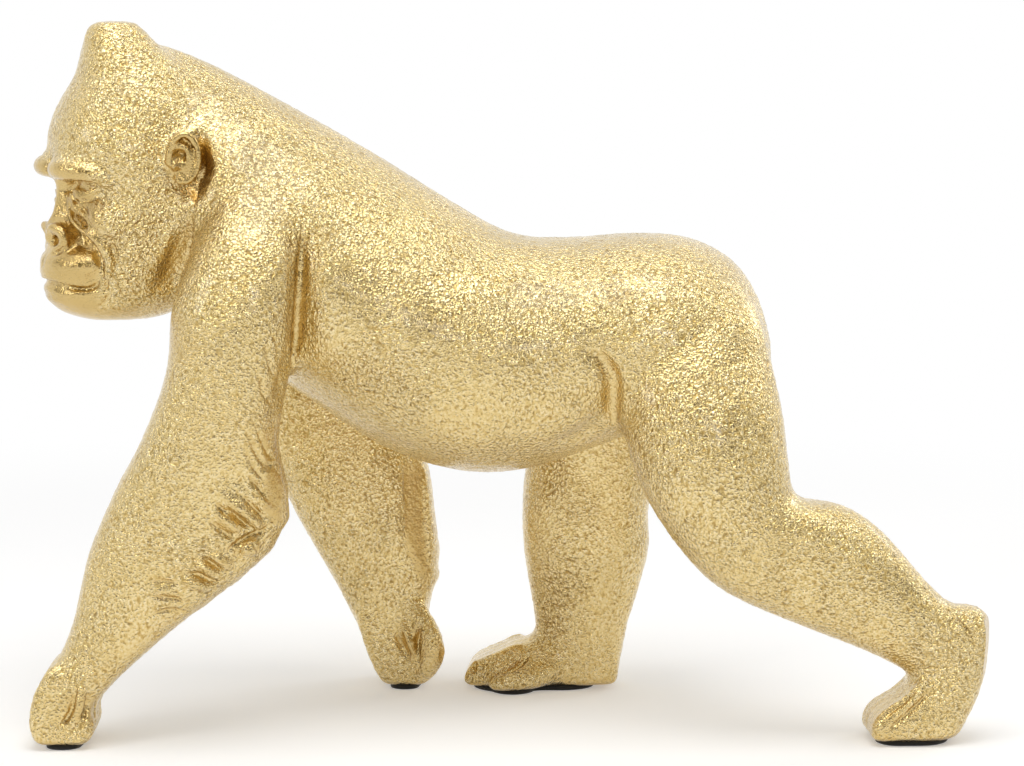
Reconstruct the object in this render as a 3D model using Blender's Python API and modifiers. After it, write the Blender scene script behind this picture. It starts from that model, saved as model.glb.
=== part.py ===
"""Walking gorilla figurine: one solid cast body on four glued sole pads.

The figure walks towards -X, its left side faces -Y, and it stands on z = 0.
Every size below is in millimetres, and MM turns it into metres.
"""

import math

import bmesh
import bpy
import numpy as np
from mathutils import Matrix, Vector
from mathutils.bvhtree import BVHTree

MM = 0.001

# Main sizes. The stations and strokes below are drawn to about this length and height,
# and the drawing is then stretched to them exactly.
FIGURE_LENGTH = 466.0
FIGURE_HEIGHT = 348.0

# Pose: how far hands and feet stand from the middle of the figure
LEFT_HAND_Y = -62.0
RIGHT_HAND_Y = 60.0
LEFT_FOOT_Y = -56.0
RIGHT_FOOT_Y = 54.0

# Breadth of the trunk and of the limbs
SHOULDER_HALF_WIDTH = 72.0
BELLY_HALF_WIDTH = 70.0
HIP_HALF_WIDTH = 65.0
UPPER_ARM_HALF_WIDTH = 27.0
WRIST_HALF_WIDTH = 18.0
THIGH_HALF_WIDTH = 29.0
ANKLE_HALF_WIDTH = 16.0
FOOT_HALF_WIDTH = 18.0

# Head, measured from the point where the neck turns it
HEAD_PIVOT = (-158.0, 0.0, 255.0)
HEAD_TURN_DEG = 25.0
SKULL_HALF_WIDTH = 40.0
MUZZLE_HALF_WIDTH = 25.0
EYE_SPACING = 30.0
EYE_RADIUS = 6.0
EAR_X = -17.0
EAR_Z = 28.0
EAR_HALF_LENGTH = 13.0
EAR_HALF_WIDTH = 8.7
EAR_STANDS_OUT = 6.0
EAR_RIM_RADIUS = 2.1

# Hands and feet
FINGER_COUNT = 4
FINGER_RADIUS = 5.2
TOE_COUNT = 4
TOE_RADIUS = 4.6

# Sole pads, glued under both fists and both feet
PAD_THICKNESS = 2.0
GLUE_GAP = 0.3
PAD_INSET = 2.5
PAD_SIDES = 48
PAD_ROUNDING = 12
SOLE_HEIGHT = PAD_THICKNESS + GLUE_GAP

# Fineness of the clay model and of the finished surface
CLAY_GRAIN = 2.2
BLEND_PASSES = 8
DETAIL_GRAIN = 1.5
DETAIL_PASSES = 2
CARVING_PASSES = 2
BODY_TRIANGLES = 11300
FACE_BACK = -45.0
FACE_HALF_HEIGHT = 60.0
LOW_DETAIL_TOP = 36.0
GUARD_SHARE = 0.9
GUARD_STRENGTH = 0.000012


# Clay: closed shells that overlap, gathered in one mesh


def catmull_rom(rows, steps):
    """A smooth curve through rows of numbers, with this many points for each span."""
    rows = np.array(rows, float)
    padded = np.vstack([2 * rows[0] - rows[1], rows, 2 * rows[-1] - rows[-2]])
    made = []
    for i in range(1, len(padded) - 2):
        before, start, end, after = padded[i - 1 : i + 3]
        for t in np.arange(steps) / steps:
            made.append(
                0.5
                * (
                    2 * start
                    + (end - before) * t
                    + (2 * before - 5 * start + 4 * end - after) * t**2
                    + (3 * start - before - 3 * end + after) * t**3
                )
            )
    made.append(rows[-1])
    return np.array(made)


def power(value, exponent):
    """value to a power, keeping its sign."""
    return math.copysign(abs(value) ** exponent, value)


def skin_rings(clay, rings):
    """Joins closed rings of points into one capped shell."""
    loops = [[clay.verts.new(Vector(point)) for point in ring] for ring in rings]
    sides = len(loops[0])
    faces = []
    for low, high in zip(loops, loops[1:]):
        for i in range(sides):
            j = (i + 1) % sides
            faces.append(clay.faces.new((low[i], low[j], high[j], high[i])))
    faces.append(clay.faces.new(loops[0][::-1]))
    faces.append(clay.faces.new(loops[-1]))
    bmesh.ops.recalc_face_normals(clay, faces=faces)


def profile_loft(clay, stations, squareness=2.2, sides=32, steps=4, place=None):
    """A loft between outline points.

    A station is the x and z of the front outline, the x and z of the rear outline,
    the middle in y and the half width in y.
    """
    rings = []
    for x1, z1, x2, z2, y, half in catmull_rom(stations, steps):
        middle = Vector(((x1 + x2) / 2, y, (z1 + z2) / 2))
        reach = Vector(((x2 - x1) / 2, 0, (z2 - z1) / 2))
        ring = []
        for i in range(sides):
            angle = 2 * math.pi * i / sides
            u = power(math.cos(angle), 2 / squareness)
            v = power(math.sin(angle), 2 / squareness)
            point = middle + reach * u + Vector((0, half * v, 0))
            ring.append(place @ point if place else point)
        rings.append(ring)
    skin_rings(clay, rings)


def tube(clay, stations, place=None, sides=12, steps=4):
    """A round rod with domed ends along a path. A station is x, y, z and radius."""
    rows = catmull_rom(stations, steps)
    centres = rows[:, :3]
    tangents = np.gradient(centres, axis=0)
    tangents /= np.linalg.norm(tangents, axis=1)[:, None]
    sections = [(c, t, r) for c, t, r in zip(centres, tangents, rows[:, 3])]
    first, last = sections[0], sections[-1]
    for bend in (30, 60, 82):
        reach, shrink = math.sin(math.radians(bend)), math.cos(math.radians(bend))
        sections.insert(0, (first[0] - first[1] * first[2] * reach, first[1], first[2] * shrink))
        sections.append((last[0] + last[1] * last[2] * reach, last[1], last[2] * shrink))
    rings = []
    across = Vector((0.0, 1.0, 0.0))
    if abs(sections[0][1][1]) > 0.8:
        across = Vector((0.0, 0.0, 1.0))
    for centre, tangent, radius in sections:
        tangent = Vector(tangent)
        across = (across - tangent * across.dot(tangent)).normalized()
        along = tangent.cross(across)
        ring = []
        for i in range(sides):
            angle = 2 * math.pi * i / sides
            point = Vector(centre) + (along * math.cos(angle) + across * math.sin(angle)) * radius
            ring.append(place @ point if place else point)
        rings.append(ring)
    skin_rings(clay, rings)


def ball(clay, centre, radii, tilt_deg=(0, 0, 0), place=None):
    """An ellipsoid, tilted about x, y and z and then placed."""
    turn = Matrix.Identity(4)
    for axis, degrees in zip("XYZ", tilt_deg):
        turn = Matrix.Rotation(math.radians(degrees), 4, axis) @ turn
    size = Matrix.Diagonal((*radii, 1.0))
    matrix = (place or Matrix.Identity(4)) @ Matrix.Translation(centre) @ turn @ size
    bmesh.ops.create_uvsphere(clay, u_segments=24, v_segments=16, radius=1.0, matrix=matrix)


# Trunk: upright sections from the nape to the rump


def trunk(clay):
    chest, belly, hip = SHOULDER_HALF_WIDTH, BELLY_HALF_WIDTH, HIP_HALF_WIDTH
    # x, back, belly, half width, height of the widest point, roundness above and below it
    stations = [
        (-192, 336, 240, chest * 0.30, 282, 1.7, 2.0),
        (-174, 337, 214, chest * 0.56, 268, 1.7, 2.0),
        (-150, 328, 196, chest * 0.76, 256, 1.7, 2.1),
        (-125, 315, 178, chest * 0.92, 242, 1.7, 2.2),
        (-98, 300, 160, chest, 226, 1.8, 2.2),
        (-65, 281, 138, chest * 1.02, 205, 1.8, 2.2),
        (-30, 259, 126, belly * 1.05, 190, 1.9, 2.2),
        (0, 243, 125, belly, 184, 2.0, 2.2),
        (30, 241, 133, belly * 0.96, 186, 2.1, 2.2),
        (60, 243, 144, hip * 1.04, 190, 2.2, 2.2),
        (87, 241, 146, hip, 190, 2.2, 2.2),
        (108, 231, 148, hip * 0.86, 188, 2.1, 2.1),
        (121, 215, 152, hip * 0.62, 186, 2.0, 2.0),
        (128, 196, 162, hip * 0.30, 180, 2.0, 2.0),
    ]
    sides = 44
    rings = []
    for x, top, bottom, half, widest, round_top, round_bottom in catmull_rom(stations, 4):
        ring = []
        for i in range(sides):
            angle = 2 * math.pi * i / sides
            upper = math.sin(angle) >= 0
            shape = round_top if upper else round_bottom
            reach = top - widest if upper else widest - bottom
            y = power(math.cos(angle), 2 / shape) * half
            z = widest + power(math.sin(angle), 2 / shape) * reach
            ring.append((x, y, z))
        rings.append(ring)
    skin_rings(clay, rings)


# Arms: from the shoulder down to the fist


def arms(clay):
    upper, wrist = UPPER_ARM_HALF_WIDTH, WRIST_HALF_WIDTH
    y = LEFT_HAND_Y
    profile_loft(
        clay,
        [
            (-132, 288, -108, 276, y + 34, upper * 0.45),
            (-140, 268, -100, 258, y + 21, upper * 0.85),
            (-151, 244, -99, 238, y + 8, upper),
            (-162, 215, -101, 214, y + 1, upper * 1.04),
            (-165, 183, -106, 183, y - 2, upper),
            (-178, 149, -112, 149, y - 2, upper * 0.96),
            (-190, 127, -107, 122, y - 1, upper * 0.95),
            (-203, 98, -114, 98, y, upper * 0.90),
            (-208, 80, -133, 80, y, upper * 0.82),
            (-212, 62, -157, 62, y, wrist * 1.08),
            (-219, 44, -178, 44, y, wrist),
            (-227, 30, -193, 30, y, wrist * 1.02),
            (-230, 16, -204, 16, y, wrist * 1.02),
            (-228, 6, -205, 6, y, wrist * 1.02),
            (-223, -4, -208, -4, y, wrist * 0.96),
        ],
        squareness=2.5,
    )
    y = RIGHT_HAND_Y
    profile_loft(
        clay,
        [
            (-134, 286, -106, 276, y - 34, upper * 0.45),
            (-142, 266, -98, 258, y - 21, upper * 0.85),
            (-150, 243, -98, 236, y - 8, upper),
            (-158, 208, -92, 208, y - 1, upper * 1.04),
            (-147, 178, -76, 178, y + 2, upper),
            (-135, 148, -58, 148, y + 2, upper * 0.96),
            (-125, 118, -44, 118, y + 1, upper * 0.94),
            (-112, 90, -40, 90, y, upper * 0.88),
            (-101, 70, -38, 70, y, upper * 0.78),
            (-91, 52, -41, 52, y, wrist * 1.04),
            (-83, 36, -44, 36, y, wrist),
            (-75, 20, -45, 20, y, wrist * 1.02),
            (-69, 8, -46, 8, y, wrist),
            (-63, -4, -48, -4, y, wrist * 0.94),
        ],
        squareness=2.9,
    )


# Legs: from the hip down to the ankle


def legs(clay):
    thigh, ankle = THIGH_HALF_WIDTH, ANKLE_HALF_WIDTH
    y = LEFT_FOOT_Y
    profile_loft(
        clay,
        [
            (62, 226, 104, 228, y + 34, thigh * 0.55),
            (54, 208, 119, 210, y + 22, thigh * 0.82),
            (50, 184, 126, 184, y + 12, thigh * 0.96),
            (53, 158, 131, 160, y + 4, thigh * 1.02),
            (59, 132, 134, 134, y, thigh),
            (75, 103, 138, 120, y, thigh * 0.96),
            (98, 77, 158, 117, y, thigh * 0.88),
            (130, 61, 178, 105, y, thigh * 0.78),
            (168, 46, 203, 77, y, ankle * 1.15),
            (192, 34, 216, 66, y, ankle),
            (200, 26, 228, 60, y, ankle * 0.95),
        ],
        squareness=2.3,
    )
    y = RIGHT_FOOT_Y
    profile_loft(
        clay,
        [
            (54, 224, 100, 226, y - 34, thigh * 0.55),
            (42, 204, 114, 206, y - 22, thigh * 0.82),
            (27, 176, 108, 178, y - 11, thigh * 0.96),
            (13, 146, 94, 150, y - 3, thigh * 1.02),
            (7, 118, 78, 120, y, thigh),
            (5, 94, 71, 94, y, thigh * 0.92),
            (6, 72, 72, 76, y, thigh * 0.84),
            (9, 52, 67, 54, y, ankle * 1.12),
            (12, 34, 61, 34, y, ankle),
            (14, 18, 58, 18, y, ankle * 0.96),
            (16, 2, 54, 2, y, ankle * 0.92),
        ],
        squareness=2.3,
    )


# Feet: soles flat on the ground, the left heel lifted


def feet(clay):
    half = FOOT_HALF_WIDTH
    y = LEFT_FOOT_Y
    profile_loft(
        clay,
        [
            (213, 66, 226, 67, y, half * 0.58),
            (205, 58, 233, 60, y, half * 0.76),
            (199, 44, 233, 46, y, half * 0.80),
            (195, 33, 229, 28, y, half * 0.86),
            (191, 26, 222, 11, y, half * 0.93),
            (187, 22, 213, -2, y, half),
            (181, 19, 198, -5, y, half),
            (176, 14, 185, -6, y, half * 0.96),
        ],
        squareness=2.8,
    )
    y = RIGHT_FOOT_Y
    profile_loft(
        clay,
        [
            (56, 22, 55, -4, y, half * 0.72),
            (44, 30, 44, -4, y, half * 0.80),
            (24, 32, 26, -4, y, half * 0.84),
            (6, 25, 8, -4, y, half * 0.94),
            (-8, 19, -7, -4, y, half),
            (-14, 15, -14, -4, y, half),
        ],
        squareness=2.6,
    )


# Head: level sections from the jaw to the crown, with the bulging muzzle


def head_place():
    turn = Matrix.Rotation(math.radians(HEAD_TURN_DEG), 4, "Z")
    return Matrix.Translation(HEAD_PIVOT) @ turn


def head(clay):
    place = head_place()
    skull = SKULL_HALF_WIDTH
    muzzle = MUZZLE_HALF_WIDTH
    # Height, front, back and half width of each level section
    levels = [
        (-52, -58, -20, skull * 0.42),
        (-47, -66, -8, skull * 0.62),
        (-38, -68, 2, skull * 0.80),
        (-20, -64, 9, skull * 0.94),
        (0, -62, 11, skull),
        (13, -63, 11, skull),
        (27, -71, 10, skull * 0.98),
        (40, -71.5, 8, skull * 0.92),
        (54, -66, 5, skull * 0.81),
        (67, -58, -1, skull * 0.65),
        (80, -55, -16, skull * 0.45),
        (93, -52, -28, skull * 0.24),
    ]
    stations = [(front, z, back, z, 0, half) for z, front, back, half in levels]
    profile_loft(clay, stations, squareness=2.3, place=place)
    # Upper lip, lower lip and chin
    ball(clay, (-55, 0, -27), (24, muzzle, 14), place=place)
    ball(clay, (-54, 0, -41), (20, muzzle * 0.86, 10), place=place)
    # Cheekbones under the eyes
    for side in (-1, 1):
        ball(clay, (-50, side * 24, -2), (13, 12, 13), place=place)


# Finer clay: brow, nose, eyes, ears, fingers and toes


def face(clay):
    place = head_place()
    muzzle = MUZZLE_HALF_WIDTH
    eye_y = EYE_SPACING / 2
    # Brow ridge: a roll over each eye, with a notch between them
    for side in (-1, 1):
        tube(
            clay,
            [
                (-69, side * 2, 22, 4.4),
                (-71.5, side * 8, 23, 5.2),
                (-70.5, side * 16, 23, 5.4),
                (-65, side * 23, 22, 4.8),
                (-58, side * 28, 20, 3.8),
                (-53, side * 31, 17.5, 2.6),
            ],
            place=place,
        )
        # Eyeball with its upper and lower lid
        ball(clay, (-60, side * eye_y, 10), (EYE_RADIUS, EYE_RADIUS, EYE_RADIUS), place=place)
        tube(
            clay,
            [
                (-64, side * (eye_y - 7), 9, 1.4),
                (-67, side * (eye_y - 1), 13, 1.6),
                (-64, side * (eye_y + 6), 11, 1.5),
            ],
            place=place,
        )
        tube(
            clay,
            [
                (-64, side * (eye_y - 7), 8, 1.4),
                (-66.5, side * (eye_y - 1), 4.5, 1.6),
                (-63, side * (eye_y + 6), 6, 1.5),
            ],
            place=place,
        )
        # Wing of the nose, curled about the nostril
        tube(
            clay,
            [
                (-73, side * 2.5, -7, 2.6),
                (-71.5, side * 7.5, -6, 3.2),
                (-68.5, side * 11, -10.5, 3.6),
                (-70, side * 9.5, -15.5, 3.0),
                (-73.5, side * 5, -17.5, 2.2),
            ],
            place=place,
        )
        # Ear: a shell with its rolled rim, the inner ridge and the lobe
        tilt = (0, 0, side * 16)
        centre = Vector((EAR_X, side * (SKULL_HALF_WIDTH - 1.5 + EAR_STANDS_OUT / 2), EAR_Z))
        ball(clay, centre, (EAR_HALF_WIDTH, EAR_STANDS_OUT / 2, EAR_HALF_LENGTH), tilt, place)
        root = (EAR_HALF_WIDTH - 3, 5, EAR_HALF_LENGTH - 2)
        ball(clay, (centre.x - 1, centre.y - side * 4, centre.z), root, tilt, place)
        rim = []
        heights = (1.5, 2.0, 2.6, 3.4, 4.2, 4.6, 4.2, 3.0)
        for angle, out in zip((-150, 165, 120, 80, 40, 0, -40, -80), heights):
            a = math.radians(angle)
            rim.append(
                (
                    centre.x + math.cos(a) * (EAR_HALF_WIDTH - 0.5),
                    centre.y + side * (out - 0.5),
                    centre.z + math.sin(a) * (EAR_HALF_LENGTH - 0.5),
                    EAR_RIM_RADIUS,
                )
            )
        tube(clay, rim, place=place)
        inner = []
        for angle in (120, 70, 20, -30, -75):
            a = math.radians(angle)
            inner.append(
                (
                    centre.x + 0.5 + math.cos(a) * EAR_HALF_WIDTH * 0.5,
                    centre.y + side * 2.8,
                    centre.z - 1 + math.sin(a) * EAR_HALF_LENGTH * 0.5,
                    EAR_RIM_RADIUS * 0.75,
                )
            )
        tube(clay, inner, place=place)
    # Bridge and tip of the nose
    ball(clay, (-60, 0, 1), (9, 11, 19), place=place)
    ridge = [(-66, 0, 17, 4.2), (-66.5, 0, 6, 4.0), (-68.5, 0, -4, 4.8), (-71, 0, -11, 5.4)]
    tube(clay, ridge, place=place)
    # Lower lip, standing out a little under the mouth
    lip = []
    for angle in (-75, -50, -25, 0, 25, 50, 75):
        a = math.radians(angle)
        lip.append((-54.5 - math.cos(a) * 19.5, math.sin(a) * (muzzle - 4.5), -40, 2.6))
    tube(clay, lip, place=place)


def fingers(clay):
    pitch = FINGER_RADIUS * 1.85
    for index in range(FINGER_COUNT):
        offset = (index - (FINGER_COUNT - 1) / 2) * pitch
        r = FINGER_RADIUS
        y = LEFT_HAND_Y + offset
        tube(
            clay,
            [
                (-220, y, 38, r * 0.9),
                (-226.5, y, 24, r),
                (-228, y, 10, r),
                (-222, y, 2, r * 0.95),
                (-212, y, 2, r * 0.9),
                (-205, y, 9, r * 0.85),
                (-206, y, 18, r * 0.75),
            ],
        )
        y = RIGHT_HAND_Y + offset
        tube(
            clay,
            [
                (-77, y, 38, r * 0.9),
                (-72, y, 23, r),
                (-66, y, 9, r),
                (-59, y, 2, r * 0.95),
                (-51, y, 2, r * 0.9),
                (-46, y, 9, r * 0.85),
                (-47, y, 18, r * 0.75),
            ],
        )
    # Palms, which fill each fist behind its curled fingers
    ball(clay, (-212, LEFT_HAND_Y, 18), (10, WRIST_HALF_WIDTH - 1, 16))
    ball(clay, (-58, RIGHT_HAND_Y, 20), (10, WRIST_HALF_WIDTH - 1, 17))
    # Thumbs, laid along the inner side of each fist and joined to it by the web of the hand
    y = LEFT_HAND_Y + WRIST_HALF_WIDTH + 1
    tube(clay, [(-196, y - 3, 38, 5), (-202, y, 27, 5.4), (-209, y, 15, 5.2), (-212, y, 9, 4.4)])
    y = RIGHT_HAND_Y - WRIST_HALF_WIDTH - 1
    tube(clay, [(-53, y + 7, 40, 6), (-48, y + 6, 27, 8), (-48, y + 6, 13, 8)])
    tube(clay, [(-49, y + 4, 44, 4.6), (-42, y, 31, 5.6), (-40, y, 19, 5.8), (-44, y, 10, 4.8)])


def toes(clay):
    pitch = TOE_RADIUS * 1.8
    for index in range(TOE_COUNT):
        r = TOE_RADIUS
        outward = TOE_COUNT - 1 - index
        y = LEFT_FOOT_Y - FOOT_HALF_WIDTH + r * 0.8 + index * pitch
        back = outward * 0.6 - 1.5
        tube(
            clay,
            [
                (199 + back, y, 31, r * 0.7),
                (191 + back, y, 21, r * 0.9),
                (184 + back, y, 16.5, r),
                (178.5 + back, y, 12, r),
                (177.5 + back, y, 5, r),
                (184 + back, y, 0, r),
            ],
        )
        y = RIGHT_FOOT_Y + FOOT_HALF_WIDTH - r * 0.8 - index * pitch
        tube(
            clay,
            [
                (4 + back, y, 23, r * 0.7),
                (-6 + back, y, 17, r * 0.9),
                (-14 + back, y, 13, r),
                (-19 + back, y, 9, r),
                (-19 + back, y, 3, r),
                (-10 + back, y, 0, r),
            ],
        )
    # Big toes, set apart on the inner side of each foot
    y = LEFT_FOOT_Y + FOOT_HALF_WIDTH
    tube(clay, [(208, y - 6, 20, 6.5), (200, y, 11, 6.4), (191, y + 3, 6, 6.2), (186, y + 3, 4, 5.4)])
    y = RIGHT_FOOT_Y - FOOT_HALF_WIDTH
    tube(clay, [(22, y + 6, 12, 6.5), (10, y, 8, 6.4), (-2, y - 3, 6, 6.2), (-8, y - 3, 5, 5.4)])


def skin_folds(clay):
    """Loose skin behind the left elbow and at the right wrist."""
    for y, folds in (
        (LEFT_HAND_Y, ((-113, 124, 10), (-111, 112, 12), (-119, 98, 11), (-134, 84, 10), (-151, 71, 8))),
        (RIGHT_HAND_Y, ((-47, 98, 6), (-44, 84, 7), (-42, 70, 8), (-42, 58, 7))),
    ):
        for x, z, lean in folds:
            tube(
                clay,
                [
                    (x - 12 - lean, y - 20, z + 3 + lean * 0.6, 2.6),
                    (x - 5, y - 13, z + 2, 4.2),
                    (x, y, z, 4.8),
                    (x - 5, y + 13, z + 2, 4.2),
                    (x - 12 - lean, y + 20, z + 3 + lean * 0.6, 2.6),
                ],
            )


# Carving: grooves and ridges drawn onto the surface from one side


def views():
    """For each direction of view, the frame in which its strokes are drawn."""
    head_frame = head_place()
    return {
        "left": (Matrix.Identity(4), Vector((0, 1, 0)), (0, 2)),
        "right": (Matrix.Identity(4), Vector((0, -1, 0)), (0, 2)),
        "face": (head_frame, Vector((1, 0, 0)), (1, 2)),
        "head_left": (head_frame, Vector((0, 1, 0)), (0, 2)),
        "head_right": (head_frame, Vector((0, -1, 0)), (0, 2)),
        "behind": (Matrix.Identity(4), Vector((-1, 0, 0)), (1, 2)),
    }


def strokes():
    """View, points in the plane of that view, width and depth. A negative depth is a ridge."""
    eye = EYE_SPACING / 2
    drawn = []
    for side in (-1, 1):
        cheek = "head_left" if side < 0 else "head_right"
        drawn += [
            # Eye socket, the slit of the eye, and the bags under it
            ("face", [(side * (eye - 6), 14), (side * (eye + 9), 12)], 7, 1.8),
            ("face", [(side * (eye - 4), 8.5), (side * eye, 9), (side * (eye + 5), 8)], 2.2, 1.2),
            ("face", [(side * 7, 3), (side * 13, -1), (side * 22, -2)], 3, 1.6),
            ("face", [(side * 8, -2), (side * 14, -7), (side * 20, -9)], 2.6, 1.2),
            # Nostril, and the fold from the nose to the corner of the mouth
            ("face", [(side * 4.5, -12.5), (side * 7, -13)], 3.0, 3.2),
            ("face", [(side * 13, -6), (side * 17, -14), (side * 23, -24), (side * 25, -33)], 4.0, 3.0),
            # Hollow of the ear
            (cheek, [(EAR_X - 2, EAR_Z + 3), (EAR_X + 1, EAR_Z - 2), (EAR_X, EAR_Z - 8)], 3.2, 2.6),
        ]
    # Mouth, drawn around the muzzle
    drawn += [
        ("face", [(-21, -35), (-12, -36.5), (0, -36), (12, -36.5), (21, -35)], 2.2, 1.8),
        ("head_left", [(-72, -36), (-64, -36.5), (-55, -34), (-51, -32)], 2.2, 1.8),
        ("head_right", [(-72, -36), (-64, -36.5), (-55, -34), (-51, -32)], 2.2, 1.8),
    ]
    drawn += [
        # Creases behind the shoulders
        ("left", [(-97, 256), (-98, 240), (-99, 220), (-103, 198), (-109, 178), (-113, 160)], 9, 4.5),
        ("right", [(-96, 256), (-92, 232), (-84, 205), (-72, 180), (-62, 160)], 9, 4.0),
        # Folds of the groin, hooked round the front of the thighs
        ("left", [(36, 196), (43, 186), (46, 172), (42, 158), (32, 149), (18, 143)], 9, 3.0),
        ("right", [(12, 198), (16, 184), (12, 168), (2, 154)], 9, 3.0),
        # Folds of skin on the outside of the left elbow and forearm
        ("left", [(-112, 127), (-124, 131), (-137, 137)], 4, 2.0),
        ("left", [(-112, 115), (-126, 116), (-140, 114)], 4, 2.2),
        ("left", [(-118, 104), (-131, 107), (-146, 104)], 4, 2.0),
        ("left", [(-128, 93), (-141, 97), (-155, 95)], 4, 1.8),
        ("left", [(-142, 82), (-152, 87), (-162, 88)], 3.5, 1.6),
        # Curl of the little finger on the left fist
        ("left", [(-201, 32), (-205, 23), (-209, 15), (-215, 13)], 3.2, 2.2),
        # Edge between the outer and the rear face of the left arm
        ("left", [(-110, 186), (-111, 165), (-109, 145)], 6, -1.5),
        # Cleft of the rump
        ("behind", [(0, 212), (0, 196), (0, 178), (0, 160)], 15, 3.0),
        # Grooves along the left foot, from the ankle to the toes
        ("left", [(206, 35), (197, 26), (188, 19), (180, 15)], 3.2, 1.8),
    ]
    return drawn


def stretch_of(clay):
    """The matrix from the drawing to the figure, whose length and height are the named ones."""
    corners = np.array([vert.co for vert in clay.verts])
    length = corners[:, 0].max() - corners[:, 0].min()
    height = corners[:, 2].max()
    return Matrix.Diagonal((FIGURE_LENGTH / length * MM, MM, FIGURE_HEIGHT / height * MM, 1))


def carve(body, stretch):
    """Presses the strokes into the surface, or raises them, along its normals."""
    mesh = body.data
    points = np.empty(len(mesh.vertices) * 3)
    mesh.vertices.foreach_get("co", points)
    drawn_size = np.array(stretch.to_3x3()).diagonal()
    points = points.reshape(-1, 3) / drawn_size
    normals = np.empty(len(mesh.vertices) * 3)
    mesh.vertices.foreach_get("normal", normals)
    normals = normals.reshape(-1, 3)
    tree = BVHTree.FromPolygons(points.tolist(), [tuple(face.vertices) for face in mesh.polygons])
    moved = np.zeros(len(points))
    frames = views()
    for view, drawn, width, depth in strokes():
        frame, gaze, axes = frames[view]
        track = []
        rows = catmull_rom(drawn, 8)
        for index, row in enumerate(rows):
            start = [0.0, 0.0, 0.0]
            start[axes[0]], start[axes[1]] = row
            start = Vector(start) - gaze * FIGURE_LENGTH
            direction = (frame.to_3x3() @ gaze).normalized()
            hit = tree.ray_cast(frame @ start, direction)[0]
            if hit is not None:
                ends = min(index, len(rows) - 1 - index) / (len(rows) - 1)
                track.append((np.array(hit), min(1.0, 0.25 + 4 * ends)))
        if not track:
            continue
        spots = np.array([spot for spot, weight in track])
        inside = (points > spots.min(axis=0) - width) & (points < spots.max(axis=0) + width)
        near = np.nonzero(inside.all(axis=1))[0]
        pressed = np.zeros(len(near))
        for spot, weight in track:
            distance = np.linalg.norm(points[near] - spot, axis=1)
            falloff = weight * (1 - np.minimum(distance / width, 1) ** 2) ** 2
            pressed = np.maximum(pressed, falloff)
        moved[near] -= depth * pressed
    points += normals * moved[:, None]
    mesh.vertices.foreach_set("co", (points * drawn_size).ravel())
    mesh.update()


# Casting: the clay is melted into one skin, carved, thinned and cut flat


def melt(clay, name, grain, passes, stretch, body=None):
    """Melts closed shells, and the body made before, into one smooth skin."""
    bmesh.ops.transform(clay, matrix=stretch, verts=clay.verts)
    if body:
        clay.from_mesh(body.data)
        bpy.data.objects.remove(body)
    mesh = bpy.data.meshes.new(name)
    clay.to_mesh(mesh)
    clay.free()
    body = bpy.data.objects.new(name, mesh)
    bpy.context.scene.collection.objects.link(body)
    remesh = body.modifiers.new("one skin", "REMESH")
    remesh.mode = "VOXEL"
    remesh.voxel_size = grain * MM
    smooth = body.modifiers.new("blend", "SMOOTH")
    smooth.factor = 0.5
    smooth.iterations = passes
    bake(body)
    keep_outer_skin(body)
    return body


def keep_outer_skin(body):
    """Leaves out the bubbles shut inside the clay, so that one skin remains."""
    clay = bmesh.new()
    clay.from_mesh(body.data)
    for vert in clay.verts:
        vert.tag = False
    skins = []
    for start in clay.verts:
        if start.tag:
            continue
        start.tag = True
        reached = [start]
        for vert in reached:
            for edge in vert.link_edges:
                other = edge.other_vert(vert)
                if not other.tag:
                    other.tag = True
                    reached.append(other)
        skins.append(reached)
    skins.sort(key=len)
    bubbles = [vert for skin in skins[:-1] for vert in skin]
    bmesh.ops.delete(clay, geom=bubbles, context="VERTS")
    clay.to_mesh(body.data)
    clay.free()


def bake(body):
    """Replaces an object's mesh by what its modifiers make of it."""
    bpy.context.view_layer.update()
    graph = bpy.context.evaluated_depsgraph_get()
    made = bpy.data.meshes.new_from_object(body.evaluated_get(graph))
    body.modifiers.clear()
    body.data = made


def thin(body, triangles, stretch):
    """Fewer triangles, kept where the surface bends most and on head, hands and feet."""
    count = sum(len(face.vertices) - 2 for face in body.data.polygons)
    guarded = body.vertex_groups.new(name="guarded")
    to_head = head_place().inverted() @ stretch.inverted()
    for vert in body.data.vertices:
        spot = to_head @ vert.co
        on_face = spot.x < FACE_BACK and abs(spot.z) < FACE_HALF_HEIGHT
        near_ear = math.hypot(spot.x - EAR_X, spot.z - EAR_Z) < EAR_HALF_LENGTH * 1.3
        on_ear = near_ear and abs(spot.y) > SKULL_HALF_WIDTH - EAR_STANDS_OUT
        if on_face or on_ear or vert.co.z / MM < LOW_DETAIL_TOP:
            guarded.add([vert.index], GUARD_SHARE, "REPLACE")
    soften = body.modifiers.new("soften the carving", "SMOOTH")
    soften.factor = 0.5
    soften.iterations = CARVING_PASSES
    decimate = body.modifiers.new("fewer triangles", "DECIMATE")
    decimate.ratio = triangles / count
    decimate.vertex_group = "guarded"
    decimate.vertex_group_factor = GUARD_STRENGTH
    decimate.invert_vertex_group = True
    bake(body)


def cut_soles(body):
    """Cuts hands and feet flat at the height of the sole and returns the outline of each cut."""
    skin = bmesh.new()
    skin.from_mesh(body.data)
    everything = list(skin.verts) + list(skin.edges) + list(skin.faces)
    cut = bmesh.ops.bisect_plane(
        skin, geom=everything, plane_co=(0, 0, SOLE_HEIGHT * MM), plane_no=(0, 0, 1), clear_inner=True
    )
    edges = [item for item in cut["geom_cut"] if isinstance(item, bmesh.types.BMEdge)]
    filled = bmesh.ops.holes_fill(skin, edges=edges)["faces"]
    outlines = [[vert.co.xy / MM for vert in face.verts] for face in filled]
    bmesh.ops.triangulate(skin, faces=filled)
    skin.to_mesh(body.data)
    skin.free()
    return outlines


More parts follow.
